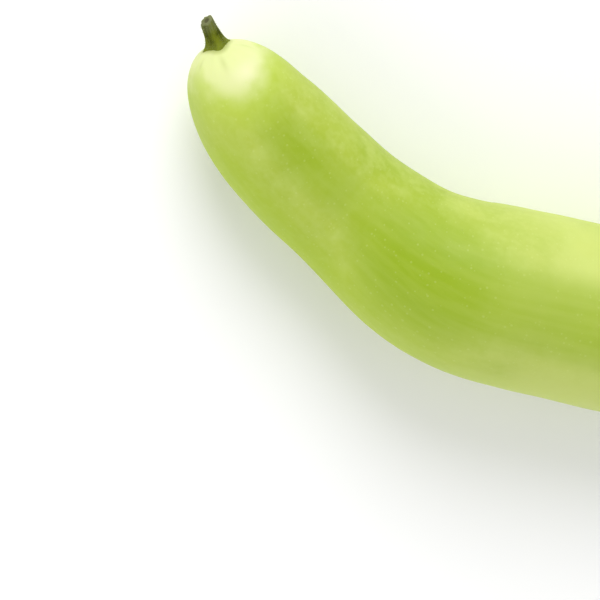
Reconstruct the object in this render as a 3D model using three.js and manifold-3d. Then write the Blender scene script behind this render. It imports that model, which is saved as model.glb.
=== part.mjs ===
// A long, curved bottle gourd, picked and laid on its side, with the cut stub of its stem.
// Millimetres, +Z up. It rests on the plane z = 0, with the origin under the middle of its box.
// Distances "along" are measured on the fruit's centreline from the stem's seat to the blossom end.

import * as THREE from "three";
import { mergeVertices } from "three/addons/utils/BufferGeometryUtils.js";
import Module from "manifold-3d";

const { degToRad, euclideanModulo, lerp, radToDeg, smoothstep } = THREE.MathUtils;

// Fruit, lengths along the centreline and radii across it
const fruitLength = 380;
const neckRadius = 32.7;
const bellyRadius = 44;
const swellStart = 90;
const swellEnd = 195;
const blossomSwell = 1.8;
const blossomSwellStart = 175;
const blossomSwellEnd = 290;

// Both ends close as superellipses: how far each runs along the fruit, and how blunt it is
const stemCapLength = 90;
const stemCapBluntness = 2.5;
const blossomCapLength = 84;
const blossomCapBluntness = 2.3;

// Headings of the centreline in plan, in degrees turned from +X towards -Y
const bellyHeading = 15;
const neckBend = 24;
const neckBendStart = 120;
const neckBendEnd = 192;
const tipCurl = 31;
const tipCurlFade = 48;
const blossomTurn = 10;
const blossomTurnStart = 200;
const blossomTurnEnd = 370;

// How it lies: the stem end lifts off the surface, and the belly presses a small flat
const tipLift = 8;
const tipLiftReach = 80;
const flatDepth = 0.6;

// Slow swells of the skin: waves round the fruit that drift along it by one radian in so many millimetres
const swellHeight = 0.4;
const swells = [
  { waves: 1, drift: 19, phase: 0.8 },
  { waves: 2, drift: 61, phase: 0 },
  { waves: 3, drift: -43, phase: 1.7 },
];
const swellFade = 40;

// Five furrows that run out of the stem's seat, and the dimple of the blossom's scar
const furrowCount = 5;
const furrowDepth = 1.1;
const furrowPeak = 5;
const furrowReach = 26;
const furrowMean = 0.375;
const furrowTurn = -8; // degrees from the top of the section
const scarDimpleDepth = 2.2;
const scarDimpleRadius = 8;

// Stem: a ridged stalk that flares into its seat, cut across a little aslant
const stemLength = 13.8;
const stemTopRadius = 3.0;
const stemShaftRadius = 4.15;
const stemFlare = 2.5;
const stemFlareHeight = 2.1;
const stemRoot = 4;
const stemRidges = [0, 105, 152, 198, 245, 360]; // degrees round it, the last one the first again
const stemRidge = 0.16;
const stemFootRidge = 0.3;
const stemRidgeSharpness = 1.5;
const stemRidgeMean = 0.4;
const stemFootNarrowing = 0.24;
const stemLean = 0.8;
const stemCutSlope = 0.3;
const stemCutTilt = 0.33;
const stemCutOnset = 6;
const stemEdgeRound = 0.5;
const pithRadius = 1.1;
const pithFloorRadius = 0.8;
const pithDepth = 0.7;
const seatGap = 0.3;

// Facets
const ringsAlong = 74;
const facetsRound = 48;
const stemFacetsRound = 40;
const centrelineStep = 1;

const skinColour = new THREE.Color().setRGB(0.7, 0.79, 0.33, THREE.SRGBColorSpace);
const stemColour = new THREE.Color().setRGB(0.4, 0.44, 0.16, THREE.SRGBColorSpace);

// Radius of the fruit without its closed ends: a slim neck that swells to the belly
function bodyRadiusAt(along) {
  const belly = (bellyRadius - neckRadius) * smoothstep(along, swellStart, swellEnd);
  const blossom = blossomSwell * smoothstep(along, blossomSwellStart, blossomSwellEnd);
  return neckRadius + belly + blossom;
}

// Share of the radius that is left at a distance from an end that closes as a superellipse
function capShare(distance, capLength, bluntness) {
  const inward = Math.max(0, 1 - distance / capLength);
  return Math.pow(1 - Math.pow(inward, bluntness), 1 / bluntness);
}

function fruitRadiusAt(along) {
  const stemEnd = capShare(along, stemCapLength, stemCapBluntness);
  const blossomEnd = capShare(fruitLength - along, blossomCapLength, blossomCapBluntness);
  return bodyRadiusAt(along) * stemEnd * blossomEnd;
}

// Heading of the centreline, in radians: the belly's own, the neck's bend and the curl at the stem end
function headingAt(along) {
  const bend = neckBend * (1 - smoothstep(along, neckBendStart, neckBendEnd));
  const curl = tipCurl * Math.exp(-Math.max(0, along) / tipCurlFade);
  const turn = blossomTurn * smoothstep(along, blossomTurnStart, blossomTurnEnd);
  return degToRad(bellyHeading + bend + curl - turn);
}

// Height of the centreline over the surface: the underside touches it, except at the lifted stem end
function axisHeightAt(along) {
  const lift = tipLift * Math.pow(Math.max(0, 1 - along / tipLiftReach), 2);
  return bodyRadiusAt(along) - flatDepth + lift;
}

// The centreline in plan, walked in short steps along its heading
function walkCentreline() {
  const points = [new THREE.Vector2(0, 0)];
  for (let along = 0; along < fruitLength; along += centrelineStep) {
    const heading = headingAt(along + centrelineStep / 2);
    const step = new THREE.Vector2(Math.cos(heading), -Math.sin(heading));
    points.push(points.at(-1).clone().addScaledVector(step, centrelineStep));
  }
  return points;
}

const centreline = walkCentreline();

// Origin and axes of the section at a distance along: tangent, side (level) and up
function sectionAt(along) {
  const index = Math.min(Math.max(Math.floor(along / centrelineStep), 0), centreline.length - 2);
  const share = along / centrelineStep - index;
  const plan = centreline[index].clone().lerp(centreline[index + 1], share);
  const heading = headingAt(along);
  const slope = (axisHeightAt(along + 1) - axisHeightAt(along - 1)) / 2;
  const tangent = new THREE.Vector3(Math.cos(heading), -Math.sin(heading), slope).normalize();
  const side = new THREE.Vector3(Math.sin(heading), Math.cos(heading), 0);
  const up = new THREE.Vector3().crossVectors(tangent, side);
  return { centre: new THREE.Vector3(plan.x, plan.y, axisHeightAt(along)), tangent, side, up };
}

// Height of the skin's relief over the plain radius, at a distance along and an angle round
function reliefAt(along, angle) {
  let slow = 0;
  for (const { waves, drift, phase } of swells) {
    slow += Math.sin(waves * angle + along / drift + phase) / swells.length;
  }
  const ends = smoothstep(along, 0, swellFade) * smoothstep(fruitLength - along, 0, swellFade);
  const onset = 1 - Math.exp(-along / furrowPeak);
  const fade = Math.exp(-Math.pow(along / furrowReach, 2));
  const turned = angle - degToRad(furrowTurn);
  const furrow = Math.pow(0.5 + 0.5 * Math.cos(furrowCount * turned), 2);
  return swellHeight * slow * ends + furrowDepth * onset * fade * (furrowMean - furrow);
}

// The fruit's profile for a lathe: radius against distance along, moved outwards by grow
function fruitProfile(grow) {
  const points = [];
  for (let ring = 0; ring <= ringsAlong; ring += 1) {
    const along = (fruitLength / 2) * (1 - Math.cos((Math.PI * ring) / ringsAlong));
    const atEnd = ring === 0 || ring === ringsAlong;
    points.push(new THREE.Vector2(atEnd ? 0 : fruitRadiusAt(along), along));
  }
  return points.map((point, ring) => {
    const before = points[Math.max(ring - 1, 0)];
    const after = points[Math.min(ring + 1, ringsAlong)];
    const run = after.clone().sub(before).normalize();
    if (point.x === 0) return new THREE.Vector2(0, point.y + (ring === 0 ? -grow : grow));
    return new THREE.Vector2(point.x + run.y * grow, point.y - run.x * grow);
  });
}

// The lathed fruit, with its relief, bent along the centreline and pressed flat where it rests
function fruitGeometry(grow = 0) {
  const geometry = new THREE.LatheGeometry(fruitProfile(grow), facetsRound);
  const position = geometry.getAttribute("position");
  const vertex = new THREE.Vector3();
  for (let i = 0; i < position.count; i += 1) {
    vertex.fromBufferAttribute(position, i);
    const radius = Math.hypot(vertex.x, vertex.z);
    const angle = Math.atan2(vertex.z, vertex.x);
    const raised = radius > 0 ? radius + reliefAt(vertex.y, angle) : 0;
    const dimple = scarDimpleDepth * Math.exp(-Math.pow(radius / scarDimpleRadius, 2));
    const sunk = vertex.y > fruitLength / 2 ? dimple : 0;
    const { centre, tangent, side, up } = sectionAt(vertex.y);
    centre.addScaledVector(up, raised * Math.cos(angle));
    centre.addScaledVector(side, raised * Math.sin(angle));
    centre.addScaledVector(tangent, -sunk);
    position.setXYZ(i, centre.x, centre.y, Math.max(centre.z, 0));
  }
  return closedSurface(geometry);
}

// Only positions, with the seam and the poles merged and the empty triangles at the poles dropped
function closedSurface(geometry) {
  geometry.deleteAttribute("normal");
  geometry.deleteAttribute("uv");
  const merged = mergeVertices(geometry, 1e-4);
  const corners = [...merged.index.array];
  const kept = [];
  for (let i = 0; i < corners.length; i += 3) {
    const [a, b, c] = corners.slice(i, i + 3);
    if (a !== b && b !== c && c !== a) kept.push(a, b, c);
  }
  merged.setIndex(kept);
  return merged;
}

// How near an angle round the stem is to a ridge: 1 on each ridge, and 0 halfway to the next
function ridgeAt(angle) {
  const turn = euclideanModulo(radToDeg(angle), 360);
  const next = stemRidges.findIndex((ridge) => ridge > turn);
  const share = (turn - stemRidges[next - 1]) / (stemRidges[next] - stemRidges[next - 1]);
  return 0.5 + 0.5 * Math.cos(2 * Math.PI * share);
}

// The stem on a lathe about +Y, from its root below the seat to the cut end with its sunken pith
function stemGeometry() {
  const flareAt = (height) => Math.exp(-Math.max(0, height) / stemFlareHeight);
  const radiusAt = (height) => {
    const shaft = lerp(stemShaftRadius, stemTopRadius, Math.max(0, height) / stemLength);
    return shaft + stemFlare * flareAt(height);
  };
  const heights = [-stemRoot, 0, 0.7, 1.5, 2.5, 3.8, 5.5, 7.8, 10.8, stemLength - stemEdgeRound];
  const profile = [
    new THREE.Vector2(0, -stemRoot),
    ...heights.map((height) => new THREE.Vector2(radiusAt(height), height)),
    new THREE.Vector2(radiusAt(stemLength) - stemEdgeRound, stemLength),
    new THREE.Vector2(pithRadius, stemLength),
    new THREE.Vector2(pithFloorRadius, stemLength - pithDepth),
    new THREE.Vector2(0, stemLength - pithDepth),
  ];
  const geometry = new THREE.LatheGeometry(profile, stemFacetsRound);
  const position = geometry.getAttribute("position");
  for (let i = 0; i < position.count; i += 1) {
    const height = position.getY(i);
    const angle = Math.atan2(position.getZ(i), position.getX(i));
    const crest = Math.pow(ridgeAt(angle), stemRidgeSharpness) - stemRidgeMean;
    const ridged = 1 + lerp(stemRidge, stemFootRidge, flareAt(height)) * crest;
    const rise = Math.max(0, height / stemLength);
    const x = position.getX(i) * ridged * (1 - stemFootNarrowing * flareAt(height));
    const z = position.getZ(i) * ridged;
    const cut = -(stemCutSlope * x + stemCutTilt * z) * Math.pow(rise, stemCutOnset);
    position.setXYZ(i, x, height + cut, z + stemLean * rise * rise);
  }
  return closedSurface(geometry);
}

const wasm = await Module();
wasm.setup();

function toSolid(geometry) {
  const vertProperties = new Float32Array(geometry.getAttribute("position").array);
  const triVerts = new Uint32Array(geometry.index.array);
  return new wasm.Manifold(new wasm.Mesh({ numProp: 3, vertProperties, triVerts }));
}

function toGeometry(solid) {
  const { vertProperties, triVerts } = solid.getMesh();
  const geometry = new THREE.BufferGeometry();
  geometry.setAttribute("position", new THREE.BufferAttribute(vertProperties, 3));
  geometry.setIndex(new THREE.BufferAttribute(triVerts, 1));
  return geometry;
}

// The fruit
function makeFruit() {
  const material = new THREE.MeshStandardMaterial({ color: skinColour, roughness: 0.42, metalness: 0 });
  const fruit = new THREE.Mesh(fruitGeometry(), material);
  fruit.name = "fruit";
  return fruit;
}

// The stem, in a group at its seat that turns +Y to point out of the fruit. What it would share with
// the fruit is cut from its foot, with a small gap.
function makeStem() {
  const { centre, tangent, side, up } = sectionAt(0);
  const seat = new THREE.Group();
  seat.position.copy(centre);
  seat.quaternion.setFromRotationMatrix(
    new THREE.Matrix4().makeBasis(up, tangent.clone().negate(), side.clone().negate()),
  );
  seat.updateMatrix();
  const fruitInSeat = fruitGeometry(seatGap).applyMatrix4(seat.matrix.clone().invert());
  const solid = toSolid(stemGeometry()).subtract(toSolid(fruitInSeat));
  const material = new THREE.MeshStandardMaterial({ color: stemColour, roughness: 0.75, metalness: 0 });
  const stem = new THREE.Mesh(toGeometry(solid), material);
  stem.name = "stem";
  seat.add(stem);
  return seat;
}

// The gourd, moved so that the origin is under the middle of its box
const gourd = new THREE.Group();
gourd.add(makeFruit(), makeStem());
const middle = new THREE.Box3().setFromObject(gourd, true).getCenter(new THREE.Vector3());
gourd.position.set(-middle.x, -middle.y, 0);

const part = new THREE.Group();
part.add(gourd);

export default part;
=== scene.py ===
import math

import bpy
import numpy as np
from mathutils import Matrix, Vector


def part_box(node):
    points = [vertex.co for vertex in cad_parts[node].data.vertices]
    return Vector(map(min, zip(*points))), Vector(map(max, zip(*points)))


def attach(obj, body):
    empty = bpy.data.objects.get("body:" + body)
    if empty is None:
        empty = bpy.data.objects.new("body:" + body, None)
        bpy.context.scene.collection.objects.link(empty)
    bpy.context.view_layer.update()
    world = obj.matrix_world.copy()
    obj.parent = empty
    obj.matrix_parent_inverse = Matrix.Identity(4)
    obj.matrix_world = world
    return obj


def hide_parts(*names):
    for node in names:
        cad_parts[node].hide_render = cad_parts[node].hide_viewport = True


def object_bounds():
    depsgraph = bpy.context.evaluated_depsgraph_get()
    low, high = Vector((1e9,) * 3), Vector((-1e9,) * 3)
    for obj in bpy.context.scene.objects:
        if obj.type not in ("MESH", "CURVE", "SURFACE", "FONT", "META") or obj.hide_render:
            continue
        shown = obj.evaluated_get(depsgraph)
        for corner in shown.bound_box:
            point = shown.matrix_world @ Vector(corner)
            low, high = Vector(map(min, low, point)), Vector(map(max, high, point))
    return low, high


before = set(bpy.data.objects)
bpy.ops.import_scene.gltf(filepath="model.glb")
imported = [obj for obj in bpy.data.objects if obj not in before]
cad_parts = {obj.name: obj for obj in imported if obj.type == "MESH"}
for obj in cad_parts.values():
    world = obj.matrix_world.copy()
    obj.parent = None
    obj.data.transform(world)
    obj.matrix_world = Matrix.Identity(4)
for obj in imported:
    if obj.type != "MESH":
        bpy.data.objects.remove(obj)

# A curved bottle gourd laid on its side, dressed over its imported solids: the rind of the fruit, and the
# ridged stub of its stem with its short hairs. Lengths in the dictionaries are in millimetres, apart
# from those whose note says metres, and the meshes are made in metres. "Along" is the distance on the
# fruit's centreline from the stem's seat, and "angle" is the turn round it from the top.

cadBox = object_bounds()
mm = 0.001


# Form of the fruit, the same as its solid's

fruit = {
    "length": 380,
    "neckRadius": 32.7,
    "bellyRadius": 44,
    "swell": (90, 195),  # where the neck widens to the belly
    "blossomSwell": 1.8,
    "blossomSwellSpan": (175, 290),
    "stemCap": (90, 2.5),  # how far the end's rounding reaches, and how blunt it is
    "blossomCap": (84, 2.3),
    "bellyHeading": 15,  # degrees turned from +X towards -Y
    "neckBend": 24,
    "neckBendSpan": (120, 192),
    "tipCurl": 31,
    "tipCurlFade": 48,
    "blossomTurn": 10,
    "blossomTurnSpan": (200, 370),
    "tipLift": 8,
    "tipLiftReach": 80,
    "flatDepth": 0.6,  # how far the underside is pressed in where it rests
    "flatSoftness": 0.12,
    "swells": ((1, 19, 0.8), (2, 61, 0), (3, -43, 1.7)),  # waves round, drift along, phase
    "swellHeight": 0.4,
    "swellFade": 40,
    "furrows": 5,
    "furrowDepth": 1.1,
    "furrowPeak": 5,
    "furrowReach": 26,
    "furrowMean": 0.375,
    "furrowTurn": -8,  # degrees from the top of the section
    "scarDimple": (2.2, 8),  # depth and radius
    "fitSpacing": (0.5, 3),  # millimetres along and degrees round, where the form's box is measured
}


# smoothStep: 0 before start, 1 after end, 3t^2 - 2t^3 between
def smoothStep(x, start, end):
    t = np.clip((x - start) / (end - start), 0, 1)
    return t * t * (3 - 2 * t)


# blend: the first of a pair, moved by a share of the way to the second
def blend(pair, share):
    return pair[0] + (pair[1] - pair[0]) * share


# unit: vectors divided by their lengths
def unit(vectors):
    return vectors / np.linalg.norm(vectors, axis=-1, keepdims=True)


# bodyRadius: the neck's radius, plus the belly's and the blossom end's swell
def bodyRadius(along):
    belly = (fruit["bellyRadius"] - fruit["neckRadius"]) * smoothStep(along, *fruit["swell"])
    blossom = fruit["blossomSwell"] * smoothStep(along, *fruit["blossomSwellSpan"])
    return fruit["neckRadius"] + belly + blossom


# capShare: an end's superellipse, (1 - (1 - distance / reach)^p)^(1/p)
def capShare(distance, reach, bluntness):
    inward = np.clip(1 - distance / reach, 0, 1)
    return (1 - inward**bluntness) ** (1 / bluntness)


# fruitRadius: the body's radius times both ends' superellipses
def fruitRadius(along):
    stemEnd = capShare(along, *fruit["stemCap"])
    blossomEnd = capShare(fruit["length"] - along, *fruit["blossomCap"])
    return bodyRadius(along) * stemEnd * blossomEnd


# heading: the belly's own, plus the neck's bend and the curl e^(-along / fade) at the stem end, less
# the blossom end's turn back
def heading(along):
    bend = fruit["neckBend"] * (1 - smoothStep(along, *fruit["neckBendSpan"]))
    curl = fruit["tipCurl"] * np.exp(-np.maximum(along, 0) / fruit["tipCurlFade"])
    turn = fruit["blossomTurn"] * smoothStep(along, *fruit["blossomTurnSpan"])
    return np.radians(fruit["bellyHeading"] + bend + curl - turn)


# axisHeight: the radius less the flat, plus lift * (1 - along / reach)^2 at the stem end
def axisHeight(along):
    lift = fruit["tipLift"] * np.maximum(0, 1 - along / fruit["tipLiftReach"]) ** 2
    return bodyRadius(along) - fruit["flatDepth"] + lift


# The centreline in plan is the running sum of (cos, -sin) of the heading, from the stem's seat
stations = np.arange(fruit["length"] + 1)
midHeading = heading(stations[:-1] + 0.5)
centrelineX = np.append(0, np.cumsum(np.cos(midHeading)))
centrelineY = np.append(0, np.cumsum(-np.sin(midHeading)))


# section: centre, tangent, level side and up of the cut across the fruit at a distance along
def section(along):
    angle = heading(along)
    inPlan = [np.interp(along, stations, line) for line in (centrelineX, centrelineY)]
    centre = np.stack([*inPlan, axisHeight(along)], -1)
    slope = (axisHeight(along + 1) - axisHeight(along - 1)) / 2
    tangent = unit(np.stack([np.cos(angle), -np.sin(angle), slope], -1))
    side = np.stack([np.sin(angle), np.cos(angle), np.zeros_like(angle)], -1)
    return centre, tangent, side, np.cross(tangent, side)


# relief: the mean of the slow waves, which fade at both ends, plus the furrows (0.5 + 0.5 cos)^2 that
# leave the stem's seat and fade out
def relief(along, angle):
    slow = np.mean([np.sin(n * angle + along / drift + phase) for n, drift, phase in fruit["swells"]], 0)
    fromStem = smoothStep(along, 0, fruit["swellFade"])
    fromBlossom = smoothStep(fruit["length"] - along, 0, fruit["swellFade"])
    onset = 1 - np.exp(-along / fruit["furrowPeak"])
    fade = np.exp(-((along / fruit["furrowReach"]) ** 2))
    turned = angle - math.radians(fruit["furrowTurn"])
    furrow = fruit["furrowMean"] - (0.5 + 0.5 * np.cos(fruit["furrows"] * turned)) ** 2
    swells = fruit["swellHeight"] * slow * fromStem * fromBlossom
    return swells + fruit["furrowDepth"] * onset * fade * furrow


# fruitPoint: centre + (radius + rise) * (up cos a + side sin a), dimpled at the blossom end, and pressed
# flat on the floor as z^2 / (z + softness). Lengths are millimetres from the stem's seat in plan.
def fruitPoint(along, angle, radius, rise, outward=0):
    centre, tangent, side, up = section(along)
    depth, reach = fruit["scarDimple"]
    dimple = depth * np.exp(-((radius / reach) ** 2)) * (along > fruit["length"] / 2)
    across = radius + np.where(radius > 0, rise, 0)
    point = centre + up * (across * np.cos(angle))[..., None] + side * (across * np.sin(angle))[..., None]
    point = point - tangent * (dimple + outward)[..., None]
    z = np.maximum(point[..., 2], 0)
    point[..., 2] = z * z / (z + fruit["flatSoftness"])
    return point


# Where the stem's seat stands in the frame: the plain form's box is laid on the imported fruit's box
fitAlong = np.arange(0, fruit["length"] + fruit["fitSpacing"][0], fruit["fitSpacing"][0])
fitAlong, fitAngle = np.meshgrid(fitAlong, np.radians(np.arange(0, 360, fruit["fitSpacing"][1])))
plainForm = fruitPoint(fitAlong, fitAngle, fruitRadius(fitAlong), relief(fitAlong, fitAngle))
boxLow, boxHigh = (np.array(corner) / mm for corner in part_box("fruit"))
formMiddle = (plainForm.min((0, 1)) + plainForm.max((0, 1))) / 2
seatPlace = ((boxLow + boxHigh) / 2 - formMiddle) * (1, 1, 0)


# Meshes

# closedGrid: faces of n rings of m points between two poles. Vertex 0 is the first pole, then the rings,
# then the last pole. Going up the rings and then round them turns each face outwards.
def closedGrid(rings, round_):
    ring = 1 + np.arange(rings - 1)[:, None] * round_
    here = np.arange(round_)
    after = (here + 1) % round_
    quads = np.stack([ring + here, ring + round_ + here, ring + round_ + after, ring + after], -1)
    last = 1 + rings * round_
    first = np.stack([here * 0, 1 + here, 1 + after], -1)
    final = np.stack([last - round_ + here, here * 0 + last, last - round_ + after], -1)
    return quads.reshape(-1, 4).tolist() + first.tolist() + final.tolist()


# betweenPoles: a grid as one list, where the first and the last ring have shrunk to a single point
def betweenPoles(grid):
    rings = grid[1:-1].reshape(-1, *grid.shape[2:])
    return np.concatenate([grid[:1, 0], rings, grid[-1:, 0]])


# roundAngles: angles evenly spaced round a ring of points
def roundAngles(count):
    return 2 * math.pi * np.arange(count) / count


# makePiece: a mesh in metres, shaded smooth, with its point attributes
def makePiece(name, points, faces, attributes, material):
    mesh = bpy.data.meshes.new(name)
    mesh.from_pydata(((points + seatPlace) * mm).tolist(), [], faces)
    mesh.polygons.foreach_set("use_smooth", np.ones(len(mesh.polygons), bool))
    for key, values in attributes.items():
        vector = values.ndim == 2
        layer = mesh.attributes.new(key, "FLOAT_VECTOR" if vector else "FLOAT", "POINT")
        layer.data.foreach_set("vector" if vector else "value", values.astype(np.float32).ravel())
    mesh.materials.append(material)
    mesh.update()
    piece = bpy.data.objects.new(name, mesh)
    bpy.context.collection.objects.link(piece)
    return piece


# randomWaves: the sum of cos(n * angle + k * along + phase) over random n and k, weighted by
# wavelength and scaled to a mean square of 1
def randomWaves(along, angle, seed, waves, shortest, longest, radius):
    rng = np.random.default_rng(seed)
    total = np.zeros_like(along)
    weight = 0
    for _ in range(waves):
        wavelength = shortest * (longest / shortest) ** rng.random()
        slant = rng.random() * 2 * math.pi
        n = round(2 * math.pi * radius / wavelength * abs(math.cos(slant)))
        k = 2 * math.pi / wavelength * math.sin(slant)
        total += wavelength * np.cos(n * angle + k * along + rng.random() * 2 * math.pi)
        weight += wavelength**2 / 2
    return total / math.sqrt(weight)


# turnFrom: the shorter turn from one angle to others, the angle of e^(i (others - one))
def turnFrom(one, others):
    return np.angle(np.exp(1j * (others - one)))


# Nodes

# addNode: a node with its settings, and its inputs either linked from a socket or set to a value
def addNode(tree, kind, inputs=None, **settings):
    node = tree.nodes.new(kind)
    for key, value in settings.items():
        setattr(node, key, value)
    for key, value in (inputs or {}).items():
        if isinstance(value, bpy.types.NodeSocket):
            tree.links.new(value, node.inputs[key])
        else:
            node.inputs[key].default_value = value
    return node


# mixColour: the colour below where the factor is 0, and the one above it where the factor is 1
def mixColour(tree, factor, below, above):
    node = addNode(tree, "ShaderNodeMix", {0: factor, 6: below, 7: above}, data_type="RGBA")
    return node.outputs[2]


# calculate: a Math node, where c is what MULTIPLY_ADD adds
def calculate(tree, operation, a, b=0.0, c=0.0):
    return addNode(tree, "ShaderNodeMath", {0: a, 1: b, 2: c}, operation=operation).outputs[0]


# cover: one colour over another where a mask says so, at a share of its strength
def cover(tree, mask, share, below, above):
    return mixColour(tree, calculate(tree, "MULTIPLY", mask, share), below, above)


# ramp: value mapped smoothly from (start, end) to (0, 1) or to another pair
def ramp(tree, value, start, end, low=0.0, high=1.0):
    inputs = {"Value": value, "From Min": start, "From Max": end, "To Min": low, "To Max": high}
    return addNode(tree, "ShaderNodeMapRange", inputs, interpolation_type="SMOOTHSTEP").outputs["Result"]


def attributeOf(tree, name, output):
    return addNode(tree, "ShaderNodeAttribute", attribute_name=name).outputs[output]


# addBump: a height that changes over the surface, lifted off it by the shader's normal
def addBump(tree, shader, height, bump):
    node = addNode(tree, "ShaderNodeBump", {"Height": height, **bump})
    tree.links.new(node.outputs["Normal"], shader.inputs["Normal"])


# newMaterial: a material with the finish set on its shader's own sockets
def newMaterial(name, finish):
    material = bpy.data.materials.new(name)
    material.use_nodes = True
    shader = material.node_tree.nodes["Principled BSDF"]
    for socket, value in finish.items():
        shader.inputs[socket].default_value = value
    return material, material.node_tree, shader


# newGroup: a node group from a place and some numbers to one mask
def newGroup(name, numbers):
    group = bpy.data.node_groups.new(name, "ShaderNodeTree")
    group.interface.new_socket(name="Place", in_out="INPUT", socket_type="NodeSocketVector")
    for key, value in numbers.items():
        kind = "NodeSocketVector" if isinstance(value, tuple) else "NodeSocketFloat"
        group.interface.new_socket(name=key, in_out="INPUT", socket_type=kind).default_value = value
    group.interface.new_socket(name="Mask", in_out="OUTPUT", socket_type="NodeSocketFloat")
    return group, addNode(group, "NodeGroupInput").outputs, addNode(group, "NodeGroupOutput").inputs


# blotches: soft patches where a noise is above a level
def makeBlotches():
    group, given, out = newGroup("blotches", {"Scale": 30, "Detail": 2, "Start": 0.4, "End": 0.6})
    inputs = {"Vector": given["Place"], "Scale": given["Scale"], "Detail": given["Detail"]}
    noise = addNode(group, "ShaderNodeTexNoise", inputs).outputs["Fac"]
    group.links.new(ramp(group, noise, given["Start"], given["End"]), out["Mask"])
    return group


# flecks: round dots, at most one in each cell. A cell's chance leaves it empty or gives the dot's size.
def makeFlecks():
    smallest, softness = 0.25, 0.12  # share of the full size, and width of a dot's edge
    group, given, out = newGroup("flecks", {"Scale": 300, "Size": 0.3, "Share": 0.5})
    inputs = {"Vector": given["Place"], "Scale": given["Scale"], "Randomness": 1.0}
    cells = addNode(group, "ShaderNodeTexVoronoi", inputs).outputs
    chance = addNode(group, "ShaderNodeSeparateColor", {"Color": cells["Color"]}).outputs[0]
    absent = calculate(group, "SUBTRACT", 1.0, given["Share"])
    present = calculate(group, "GREATER_THAN", chance, absent)
    grown = calculate(group, "MULTIPLY", ramp(group, chance, absent, 1.0, smallest, 1.0), present)
    size = calculate(group, "MULTIPLY", given["Size"], grown)
    edge = calculate(group, "SUBTRACT", size, cells["Distance"])
    group.links.new(ramp(group, edge, 0.0, softness), out["Mask"])
    return group


# fibres: a noise drawn out along the piece
def makeFibres():
    numbers = {"Scale": 250, "Stretch": (0.1, 1, 1), "Start": 0.3, "End": 0.7}
    group, given, out = newGroup("fibres", numbers)
    stretching = {0: given["Place"], 1: given["Stretch"]}
    drawn = addNode(group, "ShaderNodeVectorMath", stretching, operation="MULTIPLY").outputs[0]
    inputs = {"Vector": drawn, "Scale": given["Scale"], "Detail": 3.0}
    noise = addNode(group, "ShaderNodeTexNoise", inputs).outputs["Fac"]
    group.links.new(ramp(group, noise, given["Start"], given["End"]), out["Mask"])
    return group


blotches, flecks, fibres = makeBlotches(), makeFlecks(), makeFibres()


# useGroup: the mask of one of the three groups, with a material's own numbers
def useGroup(tree, group, place, numbers):
    return addNode(tree, "ShaderNodeGroup", {"Place": place, **numbers}, node_tree=group).outputs["Mask"]


# Rind of the fruit: its skin with all that is finer than the solid

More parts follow.
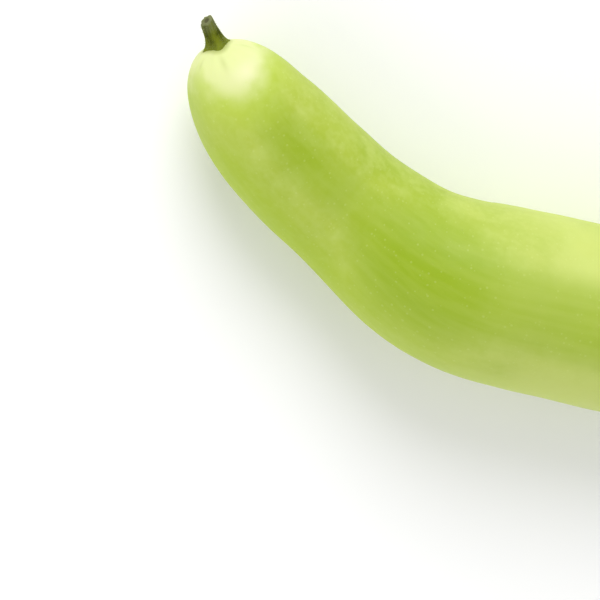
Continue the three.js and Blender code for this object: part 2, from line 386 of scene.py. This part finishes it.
rind = {
    "rings": 400,
    "round": 220,
    # finer forms
    "growth": {"seed": 3, "waves": 70, "shortest": 14, "longest": 60, "radius": 40},
    "growthHeight": 0.10,
    "growthFade": 30,  # how far from both ends the growth fades out
    "dents": {"seed": 8, "count": 46, "margins": (25, 30), "radius": (1.6, 4.5), "depth": (0.05, 0.22)},
    "pucker": {"lines": 15, "phase": 1, "height": 0.16, "reach": 9, "onset": (4, 12)},  # at the stem
    "collar": {"rise": 0.7, "radius": 8.5, "steepness": 4},  # where the skin climbs to the stem
    "scarRing": {"radius": 2.7, "width": 1.1, "height": 0.55},
    "crumbs": {"height": 0.4, "waves": ((7, 0), (3, 2))},  # waves round the scar's ring, and phase
    # marks on it
    "seatMark": {"edge": (6.0, 9.5), "rays": (0.80, 1), "strength": 0.7},  # rays follow the stem's ridges
    "seatStreaksAndShadow": (  # degrees round, distance out, width, length and strength; the first is a painted shadow below a toe of the stem
        (-6, 13, 1.4, 3.2, 0.26),
        (-62, 12, 0.9, 2.2, 0.22),
        (70, 13, 1.0, 3.0, 0.20),
        (165, 14, 1.2, 3.0, 0.25),
    ),
    "scarEdge": (2.4, 5.2),
    "scarFrays": ((5, 1, 0.12), (9, 0, 0.08)),  # waves round, phase and height
    # a painted highlight: a cream patch on the shoulder near the stem
    "paintedHighlightMark": {"along": 10.5, "aside": 6, "length": 4.0, "width": 7.5, "strength": 0.8},
    "paintedHighlightSide": (0, 0.3),  # cosine of the angle where the painted highlight fades down the side
    "paintedShadeBand": {  # painted shade, a deeper green along the top, where a pair is for the neck and for its widest place
        "start": (12, 48),
        "widens": (95, 140),
        "narrows": (150, 190),
        "narrowing": 0.85,
        "turn": (0.1, 0.02),  # radians to the side
        "edge": (0.88, 0.43),  # cosine of the angle
        "strength": (0.62, 1),
    },
    # painted shade and painted green reflection down one flank
    "paintedShadeAndBounceSide": {"strength": 0.6, "edge": (0.25, 0.9), "start": (20, 45), "end": (100, 250)},
    # colours
    "lime": (0.385, 0.482, 0.048, 1),
    "deep": (0.262, 0.380, 0.005, 1),
    # deeper, more saturated green of the painted shade and reflection on one flank
    "paintedShadeAndBounce": (0.368, 0.508, 0.006, 1),
    "light": (0.52, 0.60, 0.145, 1),
    "bright": (0.53, 0.62, 0.17, 1),
    "zest": (0.50, 0.64, 0.08, 1),
    "pale": (0.66, 0.71, 0.32, 1),
    # cream of the painted highlight on the shoulder
    "paintedHighlight": (0.735, 0.735, 0.42, 1),
    "fleck": (0.60, 0.68, 0.24, 1),
    "speck": (0.20, 0.24, 0.05, 1),
    # olive of the seat's marks and of the painted shadow below the stem
    "seat": (0.35, 0.40, 0.10, 1),
    "cork": (0.28, 0.20, 0.09, 1),
    # patterns, whose Scale is in cells to the metre, and how strongly each colours the skin
    "clouds": {"Scale": 19, "Detail": 3, "Start": 0.38, "End": 0.66},
    "patches": {"Scale": 75, "Detail": 4, "Start": 0.40, "End": 0.68},
    "marbling": {"Scale": 260, "Detail": 4, "Start": 0.42, "End": 0.66},
    "streaks": {"Scale": 210, "Stretch": (0.07, 1, 1), "Start": 0.35, "End": 0.70},
    "dots": {"Scale": 420, "Size": 0.30, "Share": 0.75},
    "specks": {"Scale": 85, "Size": 0.085, "Share": 0.20},
    "cloudShare": (0.55, 0.34),  # on the neck and on the belly
    "patchShare": 0.34,
    "marblingShare": 0.16,
    "streakShare": 0.12,
    "dotShare": 0.16,
    "speckShare": 0.45,
    "bellyReach": (0.11, 0.215),  # metres along
    "bellyShare": 0.95,
    # pale end: the stem end's paler skin, partly a painted highlight on the shoulder
    "fadeReach": (0.042, 0.014),  # metres along, from its outer edge inwards
    "fadeShare": 0.42,
    "paleReach": (0.024, 0.008),  # the same
    "paleShare": 0.92,
    "paleMiddle": 0.003,  # metres to the side, where the pale end and its painted highlight reach furthest
    "paleSide": (0.015, 0.0075),  # metres aside where it stops sooner, and by how much
    "paleWander": 0.004,  # metres by which its edge is uneven
    # surface
    "roughness": (0.48, 0.62),  # between the patches and on them
    "scarRoughness": 0.4,  # added on the scar
    "pores": {"Scale": 900.0, "Detail": 2.0},
    "grain": (0.35, 0.4, 0.25),  # heights of the pores, the streaks and the dots
    "bump": {"Strength": 0.12, "Distance": 0.0004},  # distance in metres
    "finish": {  # scale in metres
        "IOR": 1.37,
        "Coat Weight": 0.02,
        "Coat Roughness": 0.35,
        "Subsurface Weight": 0.12,
        "Subsurface Radius": (0.7, 1.0, 0.3),
        "Subsurface Scale": 0.003,
    },
}


# layPaleEnd: zest and then pale over the colour, by the distance along plus the square of how far
# aside a place is, with an edge that the clouds and patches make uneven. The pale is partly the skin's
# paler stem end and partly a painted highlight on the shoulder.
def layPaleEnd(tree, colour, along, side, mottled):
    sideReach, sooner = rind["paleSide"]
    aside = calculate(tree, "SUBTRACT", side, rind["paleMiddle"])
    curved = ramp(tree, calculate(tree, "MULTIPLY", aside, aside), 0.0, sideReach**2, 0.0, sooner)
    uneven = calculate(tree, "MULTIPLY_ADD", mottled, rind["paleWander"], -rind["paleWander"])
    away = calculate(tree, "ADD", calculate(tree, "ADD", along, curved), uneven)
    fading = ramp(tree, away, *rind["fadeReach"], 0.0, rind["fadeShare"])
    colour = mixColour(tree, fading, colour, rind["zest"])
    pale = ramp(tree, away, *rind["paleReach"], 0.0, rind["paleShare"])
    return mixColour(tree, pale, colour, rind["pale"])


# Lime that lightens towards the belly, mottled and streaked, with painted shade along the top and down
# one flank, then the marks, the pale end with its painted highlight, and the flecks
def makeSkinMaterial():
    material, tree, shader = newMaterial("gourdSkin", rind["finish"])
    place = attributeOf(tree, "straight", "Vector")
    parts = addNode(tree, "ShaderNodeSeparateXYZ", {"Vector": place}).outputs
    along, side = parts["X"], parts["Z"]
    clouds = useGroup(tree, blotches, place, rind["clouds"])
    patches = useGroup(tree, blotches, place, rind["patches"])
    marbling = useGroup(tree, blotches, place, rind["marbling"])
    streaks = useGroup(tree, fibres, place, rind["streaks"])
    dots = useGroup(tree, flecks, place, rind["dots"])
    specks = useGroup(tree, flecks, place, rind["specks"])
    paintedShade, paintedShadeAndBounce, paintedHighlight, seat, scar = (
        attributeOf(tree, name, "Fac") for name in ("paintedShade", "paintedShadeAndBounce", "paintedHighlight", "seat", "scar")
    )

    belly = ramp(tree, along, *rind["bellyReach"], 0.0, rind["bellyShare"])
    colour = mixColour(tree, belly, rind["lime"], rind["light"])
    cloudShare = ramp(tree, along, *rind["bellyReach"], *rind["cloudShare"])
    colour = cover(tree, clouds, cloudShare, colour, rind["deep"])
    colour = cover(tree, patches, rind["patchShare"], colour, rind["bright"])
    colour = cover(tree, marbling, rind["marblingShare"], colour, rind["bright"])
    # painted shade: a deeper green along the top, widest over the belly
    colour = mixColour(tree, paintedShade, colour, rind["deep"])
    # painted shade and painted green reflection down one flank
    colour = mixColour(tree, paintedShadeAndBounce, colour, rind["paintedShadeAndBounce"])
    colour = cover(tree, streaks, rind["streakShare"], colour, rind["light"])
    # the pale end, partly a painted highlight
    colour = layPaleEnd(tree, colour, along, side, calculate(tree, "ADD", clouds, patches))
    # painted highlight: cream laid over the shoulder near the stem
    colour = mixColour(tree, paintedHighlight, colour, rind["paintedHighlight"])
    colour = cover(tree, dots, rind["dotShare"], colour, rind["fleck"])
    colour = cover(tree, specks, rind["speckShare"], colour, rind["speck"])
    # the seat's marks, and a painted shadow below a toe of the stem
    colour = mixColour(tree, seat, colour, rind["seat"])
    colour = mixColour(tree, scar, colour, rind["cork"])
    tree.links.new(colour, shader.inputs["Base Color"])

    smooth, dull = rind["roughness"]
    rough = calculate(tree, "MULTIPLY_ADD", patches, dull - smooth, smooth)
    rough = calculate(tree, "MULTIPLY_ADD", scar, rind["scarRoughness"], rough)
    tree.links.new(rough, shader.inputs["Roughness"])

    pores = addNode(tree, "ShaderNodeTexNoise", {"Vector": place, **rind["pores"]}).outputs["Fac"]
    height = 0.0
    for pattern, share in zip((pores, streaks, dots), rind["grain"]):
        height = calculate(tree, "MULTIPLY_ADD", pattern, share, height)
    addBump(tree, shader, height, rind["bump"])
    return material


# skinRise: relief + growth, less depth * e^(-(distance / radius)^2) for each dent, plus the pucker's
# height * cos(lines * angle) * e^(-along / reach)
def skinRise(along, angle, radius):
    fromStem = smoothStep(along, 0, rind["growthFade"])
    fromBlossom = smoothStep(fruit["length"] - along, 0, rind["growthFade"])
    growth = rind["growthHeight"] * randomWaves(along, angle, **rind["growth"])
    rise = relief(along, angle) + growth * fromStem * fromBlossom

    dents = rind["dents"]
    rng = np.random.default_rng(dents["seed"])
    for _ in range(dents["count"]):
        dentAlong = rng.uniform(dents["margins"][0], fruit["length"] - dents["margins"][1])
        dentAngle = rng.uniform(0, 2 * math.pi)
        size = rng.uniform(*dents["radius"])
        depth = rng.uniform(*dents["depth"])
        apart = ((along - dentAlong) ** 2 + (radius * turnFrom(dentAngle, angle)) ** 2) / size**2
        rise -= depth * np.exp(-apart)

    pucker = rind["pucker"]
    lines = pucker["height"] * np.cos(pucker["lines"] * angle + pucker["phase"])
    return rise + lines * np.exp(-along / pucker["reach"]) * smoothStep(radius, *pucker["onset"])


# skinPush: how far the skin is pushed along the centreline, towards the stem by the collar's
# rise * e^(-(radius / reach)^4), and outwards at the blossom end by the crumbled ring of its scar
def skinPush(angle, radius, nearStem):
    collar, ring = rind["collar"], rind["scarRing"]
    climb = collar["rise"] * np.exp(-((radius / collar["radius"]) ** collar["steepness"]))
    ringed = ring["height"] * np.exp(-(((radius - ring["radius"]) / ring["width"]) ** 2))
    waves = [np.cos(count * angle + phase) for count, phase in rind["crumbs"]["waves"]]
    crumbled = 1 + rind["crumbs"]["height"] * np.prod(waves, 0)
    return np.where(nearStem, climb, -ringed * crumbled)


# skinMarks: masks for the material. Streaks, the first of them a painted shadow, and the painted
# highlight are e^(-(distance / size)^2), and the others are smooth steps of radius, of the distance
# along, or of the angle's cosine or sine.
def skinMarks(along, angle, radius, nearStem):
    mark = rind["seatMark"]
    rays = blend(mark["rays"], stemRidge(-angle))
    seat = mark["strength"] * (1 - smoothStep(radius / rays, *mark["edge"])) * nearStem
    # the seat's streaks, the first a painted shadow below a toe of the stem
    for turn, middle, width, length, strength in rind["seatStreaksAndShadow"]:
        aside = radius * turnFrom(math.radians(turn), angle) / width
        apart = aside**2 + ((radius - middle) / length) ** 2
        seat = np.maximum(seat, strength * np.exp(-apart) * nearStem)

    frays = [height * np.cos(count * angle + phase) for count, phase, height in rind["scarFrays"]]
    scar = (1 - smoothStep(radius * (1 + sum(frays)), *rind["scarEdge"])) * ~nearStem

    # painted highlight: a soft cream patch on the shoulder, faded down the side
    mark = rind["paintedHighlightMark"]
    aside = (radius * np.sin(angle) - mark["aside"]) / mark["width"]
    apart = ((along - mark["along"]) / mark["length"]) ** 2 + aside**2
    paintedHighlight = mark["strength"] * np.exp(-apart) * smoothStep(np.cos(angle), *rind["paintedHighlightSide"])

    # painted shade: a deeper green band along the top, turned a little to one side, widest over the belly
    band = rind["paintedShadeBand"]
    wide = smoothStep(along, *band["widens"]) - band["narrowing"] * smoothStep(along, *band["narrows"])
    paintedShade = smoothStep(np.cos(angle - blend(band["turn"], wide)), blend(band["edge"], wide), 1)
    paintedShade *= smoothStep(along, *band["start"]) * blend(band["strength"], wide)

    # painted shade and green reflection: a deeper, more saturated green down one flank
    flank = rind["paintedShadeAndBounceSide"]
    paintedShadeAndBounce = flank["strength"] * smoothStep(-np.sin(angle), *flank["edge"])
    paintedShadeAndBounce *= smoothStep(along, *flank["start"]) * (1 - smoothStep(along, *flank["end"]))
    return {"seat": seat, "scar": scar, "paintedHighlight": paintedHighlight, "paintedShade": paintedShade, "paintedShadeAndBounce": paintedShadeAndBounce}


# The skin: fruitPoint on a grid of along = length (1 - cos(pi v)) / 2 and angle = 2 pi u, with the
# rise, the push and the marks above. "straight" is each point's place on the fruit before it is bent.
def makeSkin():
    rings, round_ = rind["rings"], rind["round"]
    steps = (1 - np.cos(math.pi * np.arange(rings + 1) / rings)) / 2
    along, angle = np.meshgrid(fruit["length"] * steps, roundAngles(round_), indexing="ij")
    radius = fruitRadius(along)
    nearStem = along < fruit["length"] / 2
    rise, push = skinRise(along, angle, radius), skinPush(angle, radius, nearStem)
    points = betweenPoles(fruitPoint(along, angle, radius, rise, push))
    straight = np.stack([along, radius * np.cos(angle), radius * np.sin(angle)], -1)
    attributes = {"straight": betweenPoles(straight) * mm}
    for name, mask in skinMarks(along, angle, radius, nearStem).items():
        attributes[name] = betweenPoles(mask)
    skin = makePiece("gourdSkin", points, closedGrid(rings - 1, round_), attributes, makeSkinMaterial())
    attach(skin, "root")
    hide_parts("fruit")
    print("skin of the fruit made")


# Stub of the stem

stem = {
    # form, the same as its solid's
    "length": 13.8,
    "shaftRadius": (4.15, 3.0),  # above the foot and at the cut
    "flareHeight": 1.9,
    "ridges": (0, 105, 152, 198, 245, 360),  # degrees round it, the last one the first again
    "ridge": 0.17,  # share of the radius
    "ridgeMean": 0.4,
    "ridgeSharpness": 1.5,
    "footRadius": (5.6, 7.7),  # between the ridges and at their toes
    "toeSharpness": 2.2,
    "footRidge": 0.6,  # share of the ridges' height that the foot keeps
    "footNarrowing": 0.24,  # share by which the foot is flatter than wide
    "lean": 0.8,  # to the side at the cut
    "cutSlope": (0.3, 0.33),  # of the cut's face, upwards and to the side
    "cutOnset": 6,  # power of the height with which the slope sets in
    "edge": 0.45,
    "pith": (1.15, 0.75),  # radius and depth
    # finer forms
    "rings": 96,
    "ringCrowding": 1.4,  # above 1, rings are closer at the foot
    "round": 140,
    "faceRings": 26,
    "faceCrowding": 0.8,  # below 1, rings are closer at the pith
    "sunk": 0.5,  # how far the foot reaches into the skin
    "twist": 0.018,  # radians for each millimetre
    "furrows": (15, 0.7, 0.035),  # how many, phase, and share of the radius
    "fibreHeight": 0.018,  # share of the radius
    "fibreStretch": 0.12,  # below 1, fibres are drawn out up the stem
    "fibreWaves": {"seed": 5, "waves": 60, "shortest": 0.5, "longest": 2.4, "radius": 3.6},
    "faceHeight": 0.06,
    "faceOnset": 1.2,  # radius inside which the cut's roughness fades out
    "faceDensity": 2,  # above 1, its waves are finer outwards than round the cut
    "faceWaves": {"seed": 9, "waves": 40, "shortest": 0.6, "longest": 3, "radius": 1.5},
    "bundles": {"count": 10, "height": 0.10, "middle": 0.68, "width": 0.12},  # shares of the radius
    "edgeShare": 0.16,  # share of the radius over which the edge is rounded
    "hollowEdge": (0.55, 1.15),  # shares of the pith's radius
    # marks and colours
    "cutEdge": (0.02, 0.14),  # shares of the radius in from the edge
    "pithEdge": (0.8, 1.3),  # shares of the pith's radius
    "olive": (0.110, 0.132, 0.003, 1),
    "dark": (0.045, 0.055, 0.001, 1),
    "crest": (0.185, 0.220, 0.012, 1),
    "dry": (0.170, 0.185, 0.078, 1),
    "foot": (0.200, 0.240, 0.024, 1),
    "cut": (0.18, 0.195, 0.085, 1),
    "cutRim": (0.09, 0.10, 0.035, 1),
    "core": (0.10, 0.10, 0.045, 1),
    # patterns, and how strongly each colours the bark
    "lines": {"Scale": 900, "Stretch": (0.08, 1, 1), "Start": 0.3, "End": 0.7},
    "darkPatches": {"Scale": 260, "Detail": 3, "Start": 0.42, "End": 0.66},
    "specks": {"Scale": 900, "Size": 0.3, "Share": 0.4},
    "crestShare": 0.75,
    "dryReach": (0.0065, 0.0125),  # metres up the stem
    "dryShare": 0.85,
    "dryLines": (0.45, 1.0),  # between the lines and on them
    "darkPatchReach": (0.006, 0.010),  # the same
    "darkPatchShare": (0.92, 0.25),
    "footReach": (0.0052, 0.001),  # the same
    "footShare": 0.62,
    "speckShare": 0.35,
    "rimShare": 0.6,
    # surface
    "roughness": (0.82, 0.62),  # between the lines and on them
    "speckHeight": 0.4,
    "bump": {"Strength": 0.5, "Distance": 0.00015},  # distance in metres
    "finish": {"Specular IOR Level": 0.10},
}


# seatFrame: origin and axes at the stem's seat, with "out" pointing away from the fruit
def seatFrame():
    centre, tangent, side, up = section(np.array(0.0))
    return centre, up, -tangent, -side


# skinDrop: how far the skin lies under the seat at a radius, a (1 - (1 - (r / R)^p)^(1/p))
def skinDrop(radius):
    reach, bluntness = fruit["stemCap"]
    share = np.clip(radius / fruit["neckRadius"], 0, 1)
    return reach * (1 - (1 - share**bluntness) ** (1 / bluntness))


# stemRidge: how near an angle round the stem is to a ridge, 0.5 + 0.5 cos of a phase that grows by one
# turn from each ridge to the next
def stemRidge(angle):
    turns = np.interp(np.degrees(angle) % 360, stem["ridges"], np.arange(len(stem["ridges"])))
    return 0.5 + 0.5 * np.cos(2 * math.pi * turns)


# stemRadius: shaft * ridges + (foot - shaft) e^(-height / flareHeight), with small furrows and fibres
def stemRadius(height, angle):
    turned = angle + stem["twist"] * height
    wave = stemRidge(turned)
    crest = wave ** stem["ridgeSharpness"]
    shaft = blend(stem["shaftRadius"], np.clip(height / stem["length"], 0, 1))
    furrows, phase, depth = stem["furrows"]
    fibre = randomWaves(height * stem["fibreStretch"], turned, **stem["fibreWaves"])
    small = depth * np.cos(furrows * turned + phase) + stem["fibreHeight"] * fibre
    ridged = 1 + stem["ridge"] * (crest - stem["ridgeMean"]) + small
    foot = blend(stem["footRadius"], wave ** stem["toeSharpness"])
    flare = np.exp(-height / stem["flareHeight"])
    kept = stem["footRidge"]
    return shaft * ridged * (1 - flare * (1 - kept)) + (foot - kept * shaft) * flare, crest


# stemPoint: the seat's frame, narrowed at the foot, leaned with (height / length)^2 and cut aslant
def stemPoint(height, angle, radius):
    centre, up, out, level = seatFrame()
    flare = np.exp(-np.maximum(height, 0) / stem["flareHeight"])
    rise = np.maximum(height, 0) / stem["length"]
    x = radius * np.cos(angle) * (1 - stem["footNarrowing"] * flare)
    z = radius * np.sin(angle)
    cut = -(stem["cutSlope"][0] * x + stem["cutSlope"][1] * z) * rise ** stem["cutOnset"]
    y = height - skinDrop(np.hypot(x, z)) * flare + cut
    z = z + stem["lean"] * rise**2
    return centre + x[..., None] * up + y[..., None] * out + z[..., None] * level


# faceRise: the edge's rounding, a square root, less the pith's hollow, with rough waves and a ring of
# bundles as height * cos(count * angle) * e^(-((share - middle) / width)^2)
def faceRise(share, angle, radius):
    edge = stem["edge"] * np.clip((1 - share) / stem["edgeShare"], 0, 1) ** 0.5
    pithRadius, pithDepth = stem["pith"]
    hollow = pithDepth * (1 - smoothStep(radius / pithRadius, *stem["hollowEdge"]))
    waves = randomWaves(radius * stem["faceDensity"], angle, **stem["faceWaves"])
    rough = stem["faceHeight"] * waves * smoothStep(radius, 0, stem["faceOnset"])
    ring = stem["bundles"]
    fade = np.exp(-(((share - ring["middle"]) / ring["width"]) ** 2))
    return edge - hollow + rough + ring["height"] * np.cos(ring["count"] * angle) * fade


# Olive lines with bright crests, drier up the stem and darker in patches lower down, and a cut face with
# its pith
def makeBarkMaterial():
    material, tree, shader = newMaterial("stemBark", stem["finish"])
    place = attributeOf(tree, "straight", "Vector")
    height = addNode(tree, "ShaderNodeSeparateXYZ", {"Vector": place}).outputs["X"]
    crest, cut, pith = (attributeOf(tree, name, "Fac") for name in ("crest", "cut", "pith"))
    lines = useGroup(tree, fibres, place, stem["lines"])
    darkPatches = useGroup(tree, blotches, place, stem["darkPatches"])
    specks = useGroup(tree, flecks, place, stem["specks"])

    colour = mixColour(tree, lines, stem["dark"], stem["olive"])
    colour = cover(tree, crest, stem["crestShare"], colour, stem["crest"])
    dryness = ramp(tree, height, *stem["dryReach"], 0.0, stem["dryShare"])
    colour = cover(tree, dryness, ramp(tree, lines, 0.0, 1.0, *stem["dryLines"]), colour, stem["dry"])
    # darker in patches, most towards the foot
    patchDarkening = ramp(tree, height, *stem["darkPatchReach"], *stem["darkPatchShare"])
    colour = cover(tree, darkPatches, patchDarkening, colour, stem["dark"])
    foot = ramp(tree, height, *stem["footReach"], 0.0, stem["footShare"])
    colour = mixColour(tree, foot, colour, stem["foot"])
    colour = cover(tree, specks, stem["speckShare"], colour, stem["crest"])
    face = cover(tree, darkPatches, stem["rimShare"], stem["cut"], stem["cutRim"])
    face = mixColour(tree, pith, face, stem["core"])
    colour = mixColour(tree, cut, colour, face)
    tree.links.new(colour, shader.inputs["Base Color"])
    tree.links.new(ramp(tree, lines, 0.0, 1.0, *stem["roughness"]), shader.inputs["Roughness"])
    grain = calculate(tree, "MULTIPLY_ADD", specks, stem["speckHeight"], lines)
    addBump(tree, shader, grain, stem["bump"])
    return material


# The stub, from a pole in the fruit: its side from the sunk foot up to the edge, then the cut face
# inwards to a pole in the pith's hollow
def makeStem():
    angles = roundAngles(stem["round"])
    top = stem["length"] - stem["edge"]
    climb = np.linspace(0, 1, stem["rings"]) ** stem["ringCrowding"]
    sideHeight, sideAngle = np.meshgrid(blend((-stem["sunk"], top), climb), angles, indexing="ij")
    sideRadius, crest = stemRadius(sideHeight, sideAngle)

    inward = np.linspace(0, 1, stem["faceRings"] + 1)[1:] ** stem["faceCrowding"]
    share, faceAngle = np.meshgrid(1 - inward, angles, indexing="ij")
    faceRadius = share * sideRadius[-1]
    faceHeight = top + faceRise(share, faceAngle, faceRadius)
    cut = smoothStep(1 - share, *stem["cutEdge"])
    pith = 1 - smoothStep(faceRadius / stem["pith"][0], *stem["pithEdge"])

    pole = np.zeros((1, stem["round"]))
    height = np.concatenate([pole - stem["sunk"], sideHeight, faceHeight])
    angle = np.concatenate([pole, sideAngle, faceAngle])
    radius = np.concatenate([pole, sideRadius, faceRadius])
    straight = np.stack([height, radius * np.cos(angle), radius * np.sin(angle)], -1)
    points = betweenPoles(stemPoint(height, angle, radius))
    attributes = {
        "straight": betweenPoles(straight) * mm,
        "crest": betweenPoles(np.concatenate([pole, crest, share * 0])),
        "cut": betweenPoles(np.concatenate([pole, crest * 0, cut])),
        "pith": betweenPoles(np.concatenate([pole, crest * 0, pith])),
    }
    faces = closedGrid(stem["rings"] + stem["faceRings"] - 1, stem["round"])
    stub = makePiece("stemStub", points, faces, attributes, makeBarkMaterial())
    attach(stub, "root")
    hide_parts("stem")
    print("stub of the stem made")


# Hairs of the stem

hairs = {
    "seed": 12,
    "count": 420,
    "length": (0.5, 1.3),
    "thickness": 0.05,
    "margins": (0.4, 1),  # bare lengths at the foot and at the cut
    "rooted": 0.1,  # how deep they stand in the bark
    "lean": 0.5,
    "disorder": 0.35,
    "pale": (0.40, 0.42, 0.24, 1),
    "dry": (0.170, 0.185, 0.078, 1),
    "tint": {"Scale": 600, "Detail": 1, "Start": 0.35, "End": 0.65},
    "finish": {"Roughness": 0.55},
}


def makeHairMaterial():
    material, tree, shader = newMaterial("stemHair", hairs["finish"])
    place = addNode(tree, "ShaderNodeTexCoord").outputs["Object"]
    tint = useGroup(tree, blotches, place, hairs["tint"])
    tree.links.new(mixColour(tree, tint, hairs["pale"], hairs["dry"]), shader.inputs["Base Color"])
    return material


# Each hair is a three-sided spike: three base points round its root and one tip, leaned up the stem
def makeHairs():
    rng = np.random.default_rng(hairs["seed"])
    count = hairs["count"]
    height = rng.uniform(hairs["margins"][0], stem["length"] - hairs["margins"][1], count)
    angle = rng.uniform(0, 2 * math.pi, count)
    radius = stemRadius(height, angle)[0]
    root = stemPoint(height, angle, radius - hairs["rooted"])
    out = stemPoint(height, angle, radius + 1) - root
    along = stemPoint(height + 1, angle, radius) - root + rng.normal(0, hairs["disorder"], (count, 3))
    way = unit(out + hairs["lean"] * along)
    across = unit(np.cross(way, along))
    other = np.cross(way, across)
    corner = roundAngles(3)[None, :, None]
    round_ = across[:, None] * np.cos(corner) + other[:, None] * np.sin(corner)
    base = root[:, None] + hairs["thickness"] * round_
    tip = root + way * rng.uniform(*hairs["length"], (count, 1))
    points = np.concatenate([base, tip[:, None]], 1).reshape(-1, 3)
    spike = np.array([[0, 1, 3], [1, 2, 3], [2, 0, 3], [0, 2, 1]])
    faces = (spike[None] + 4 * np.arange(count)[:, None, None]).reshape(-1, 3)
    piece = makePiece("stemHairs", points, faces.tolist(), {}, makeHairMaterial())
    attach(piece, "root")
    print("hairs of the stem made")


# Floor, light and camera

studio = {
    "floor": 8.0,  # metres from the middle to each edge
    "floorGap": 0.00005,  # metres from the gourd down to the floor
    "floorFinish": {"Base Color": (0.97, 0.97, 0.975, 1), "Roughness": 0.8},
    "worldColour": (1, 1, 1, 1),
    "worldStrength": (0.60, 1.0),  # as a light, and as the backdrop that is seen
    "lights": (  # name, azimuth and elevation in degrees, distance and size in metres, power
        ("keyLight", 90, 35, 8.0, 6.0, 516),
        ("fillLight", 220, 25, 8.0, 10.0, 300),
    ),
}

camera = {
    "fromSeat": (39.1, -123.7, 39.4),  # what it looks at, measured from the floor under the seat
    "distance": 1100,
    "azimuth": 125,  # degrees from +X in plan, towards the stem
    "elevation": 72,
    "lens": 137.3,
    "sensor": 36,
}


# direction: (cos azimuth cos elevation, sin azimuth cos elevation, sin elevation)
def direction(azimuth, elevation):
    turn, rise = math.radians(azimuth), math.radians(elevation)
    return np.array([math.cos(turn) * math.cos(rise), math.sin(turn) * math.cos(rise), math.sin(rise)])


def makeFloor():
    reach = studio["floor"]
    level = -studio["floorGap"]
    corners = [(x * reach, y * reach, level) for x, y in ((-1, -1), (1, -1), (1, 1), (-1, 1))]
    mesh = bpy.data.meshes.new("floor")
    mesh.from_pydata(corners, [], [(0, 1, 2, 3)])
    mesh.materials.append(newMaterial("paleFloor", studio["floorFinish"])[0])
    floor = bpy.data.objects.new("floor", mesh)
    bpy.context.collection.objects.link(floor)


def makeLights():
    world = bpy.data.worlds.new("studio")
    world.use_nodes = True
    tree = world.node_tree
    background = tree.nodes["Background"]
    background.inputs["Color"].default_value = studio["worldColour"]
    seen = addNode(tree, "ShaderNodeLightPath").outputs["Is Camera Ray"]
    strength = ramp(tree, seen, 0.0, 1.0, *studio["worldStrength"])
    tree.links.new(strength, background.inputs["Strength"])
    bpy.context.scene.world = world
    middle = Vector(np.array(cadBox).mean(0))
    for name, azimuth, elevation, distance, size, power in studio["lights"]:
        light = bpy.data.lights.new(name, "AREA")
        light.shape = "DISK"
        light.size = size
        light.energy = power
        lamp = bpy.data.objects.new(name, light)
        away = Vector(direction(azimuth, elevation))
        lamp.location = middle + away * distance
        lamp.rotation_euler = away.to_track_quat("Z", "Y").to_euler()
        lamp.visible_camera = False
        bpy.context.collection.objects.link(lamp)


# The camera looks down on the gourd. Its up direction is +Y, made square to its line of sight.
def makeCamera():
    back = direction(camera["azimuth"], camera["elevation"])
    up = unit(np.array([0, 1, 0]) - back[1] * back)
    turn = Matrix(np.stack([np.cross(up, back), up, back], 1).tolist()).to_4x4()
    place = (seatPlace + camera["fromSeat"] + camera["distance"] * back) * mm
    data = bpy.data.cameras.new("camera")
    data.lens = camera["lens"]
    data.sensor_width = camera["sensor"]
    viewer = bpy.data.objects.new("camera", data)
    viewer.matrix_world = Matrix.Translation(place.tolist()) @ turn
    bpy.context.collection.objects.link(viewer)
    bpy.context.scene.camera = viewer


# The pieces in turn, then the room

makeSkin()
makeStem()
makeHairs()
makeFloor()
makeLights()
makeCamera()
bpy.context.scene.view_settings.view_transform = "Standard"
print("floor, light and camera made")
